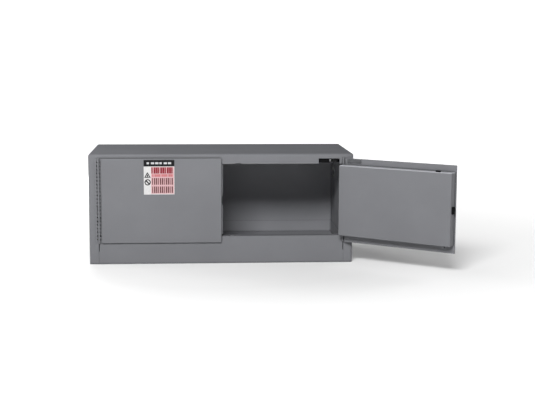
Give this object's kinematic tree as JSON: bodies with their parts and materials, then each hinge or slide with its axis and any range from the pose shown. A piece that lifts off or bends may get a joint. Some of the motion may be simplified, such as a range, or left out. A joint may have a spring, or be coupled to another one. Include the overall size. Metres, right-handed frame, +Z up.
{
  "type": "flammable storage cabinet",
  "caption": "Low double-walled steel cabinet for flammable liquids, with hinged doors, a raised leakproof sill, a latched door and side vents.",
  "frame": {"origin": "centre of the cabinet's footprint (doors left out), on the surface it stands on", "axes": "+X to the right across the front, +Y towards the back, +Z up"},
  "size_m": [1.4767, 0.7844, 0.457],
  "materials": {
    "grey_powder_coat": "semi-gloss powder coat with fine orange peel",
    "inner_powder_coat": "satin powder coat",
    "zinc": "zinc plated",
    "stainless": "polished",
    "black_plastic": "fine moulded texture",
    "black_steel": "satin black paint",
    "rubber": "matt",
    "brass": "machined",
    "label_vinyl": "printed vinyl, satin"
  },
  "bodies": {
    "cabinet": {"outer_top": "grey_powder_coat", "door_header": "grey_powder_coat", "outer_side_right": "grey_powder_coat", "outer_side_left": "grey_powder_coat", "outer_back": "grey_powder_coat", "outer_bottom": "grey_powder_coat", "base_front_panel": "grey_powder_coat", "inner_ceiling": "inner_powder_coat", "inner_side_right": "inner_powder_coat", "inner_side_left": "inner_powder_coat", "inner_back": "inner_powder_coat", "sump_tray": "inner_powder_coat", "vent_bushing_left": "zinc", "vent_bushing_right": "zinc", "flame_arrester_left": "stainless", "flame_arrester_right": "stainless", "ground_stud": "brass", "ground_nut": "brass", "hinge_frame_leaf_left": "grey_powder_coat", "hinge_frame_leaf_right": "grey_powder_coat", "hinge_pin_left": "zinc", "hinge_pin_right": "zinc", "catch_housing_left": "black_plastic", "catch_housing_right": "black_plastic", "catch_pin_left": "stainless", "catch_pin_right": "stainless"},
    "left_door": {"left_door_skin": "grey_powder_coat", "left_door_pan": "grey_powder_coat", "hinge_door_leaf_left": "grey_powder_coat", "left_catch_bracket": "zinc", "astragal": "grey_powder_coat", "hazard_label": "label_vinyl"},
    "right_door": {"right_door_skin": "grey_powder_coat", "right_door_pan": "grey_powder_coat", "hinge_door_leaf_right": "grey_powder_coat", "right_catch_bracket": "zinc", "handle_escutcheon": "black_plastic", "handle_spring": "stainless", "top_rod_guide": "black_plastic", "bottom_rod_guide": "black_plastic", "centre_bolt_guide": "black_plastic"},
    "lever": {"handle_lever": "black_steel", "latch_hub": "zinc"},
    "key": {"key_plug": "brass"},
    "top_latch": {"top_rod": "zinc", "top_bullet": "black_plastic"},
    "bottom_latch": {"bottom_rod": "zinc", "bottom_bullet": "black_plastic"},
    "centre_latch": {"centre_bolt": "zinc", "centre_nose": "black_plastic"},
    "catch_arm_left_body": {"catch_arm_left": "black_steel"},
    "catch_roller_left_body": {"catch_roller_left": "rubber"},
    "vent_gasket_left_body": {"vent_gasket_left": "rubber"},
    "vent_cap_left_body": {"vent_cap_left": "black_plastic"},
    "catch_arm_right_body": {"catch_arm_right": "black_steel"},
    "catch_roller_right_body": {"catch_roller_right": "rubber"},
    "vent_gasket_right_body": {"vent_gasket_right": "rubber"},
    "vent_cap_right_body": {"vent_cap_right": "black_plastic"}
  },
  "joints": [
    {"name": "left_door_hinge", "type": "hinge", "parent": "cabinet", "child": "left_door", "pos_m": [-0.504, -0.2253, 0.264], "axis": [0, 0, 1], "range_deg": [-180, 0]},
    {"name": "right_door_hinge", "type": "hinge", "parent": "cabinet", "child": "right_door", "pos_m": [0.504, -0.2253, 0.264], "axis": [0, 0, 1], "range_deg": [-143.5, 36.5]},
    {"name": "handle_turn", "type": "hinge", "parent": "right_door", "child": "lever", "pos_m": [0.85961, -0.50125, 0.249], "axis": [-0.5948, -0.8039, 0], "range_deg": [0, 40]},
    {"name": "key_turn", "type": "hinge", "parent": "lever", "child": "key", "pos_m": [0.85961, -0.50125, 0.249], "axis": [-0.5948, -0.8039, 0], "range_deg": [0, 90]},
    {"name": "top_latch_slide", "type": "slide", "parent": "right_door", "child": "top_latch", "axis": [0, 0, -1], "range_m": [0, 0.00958]},
    {"name": "bottom_latch_slide", "type": "slide", "parent": "right_door", "child": "bottom_latch", "axis": [0, 0, 1], "range_m": [0, 0.00958]},
    {"name": "centre_latch_slide", "type": "slide", "parent": "right_door", "child": "centre_latch", "axis": [-0.8039, 0.5948, 0], "range_m": [0, 0.00958]},
    {"name": "catch_arm_left_pivot", "type": "hinge", "parent": "cabinet", "child": "catch_arm_left_body", "pos_m": [-0.45, -0.2, 0.427], "axis": [0, 0, -1], "range_deg": [0, 20]},
    {"name": "catch_roller_left_spin", "type": "hinge", "parent": "catch_arm_left_body", "child": "catch_roller_left_body", "pos_m": [-0.474, -0.2, 0.427], "axis": [0, 0, 1], "continuous": true},
    {"name": "vent_cap_left_travel", "type": "slide", "parent": "cabinet", "child": "vent_gasket_left_body", "axis": [-1, 0, 0], "range_m": [0, 0.0022]},
    {"name": "vent_cap_left_turn", "type": "hinge", "parent": "vent_gasket_left_body", "child": "vent_cap_left_body", "pos_m": [-0.555, 0.12, 0.176], "axis": [-1, 0, 0], "range_deg": [0, 360]},
    {"name": "catch_arm_right_pivot", "type": "hinge", "parent": "cabinet", "child": "catch_arm_right_body", "pos_m": [0.45, -0.2, 0.427], "axis": [0, 0, 1], "range_deg": [0, 20]},
    {"name": "catch_roller_right_spin", "type": "hinge", "parent": "catch_arm_right_body", "child": "catch_roller_right_body", "pos_m": [0.474, -0.2, 0.427], "axis": [0, 0, 1], "continuous": true},
    {"name": "vent_cap_right_travel", "type": "slide", "parent": "cabinet", "child": "vent_gasket_right_body", "axis": [1, 0, 0], "range_m": [0, 0.0022]},
    {"name": "vent_cap_right_turn", "type": "hinge", "parent": "vent_gasket_right_body", "child": "vent_cap_right_body", "pos_m": [0.555, 0.12, 0.352], "axis": [1, 0, 0], "range_deg": [0, 360]}
  ],
  "couplings": [
    {"joint": "top_latch_slide", "follows": "handle_turn", "m_per_rad": 0.013722},
    {"joint": "bottom_latch_slide", "follows": "handle_turn", "m_per_rad": 0.013722},
    {"joint": "centre_latch_slide", "follows": "handle_turn", "m_per_rad": 0.013722},
    {"joint": "vent_cap_left_travel", "follows": "vent_cap_left_turn", "m_per_rad": 0.0003501},
    {"joint": "vent_cap_right_travel", "follows": "vent_cap_right_turn", "m_per_rad": 0.0003501}
  ]
}
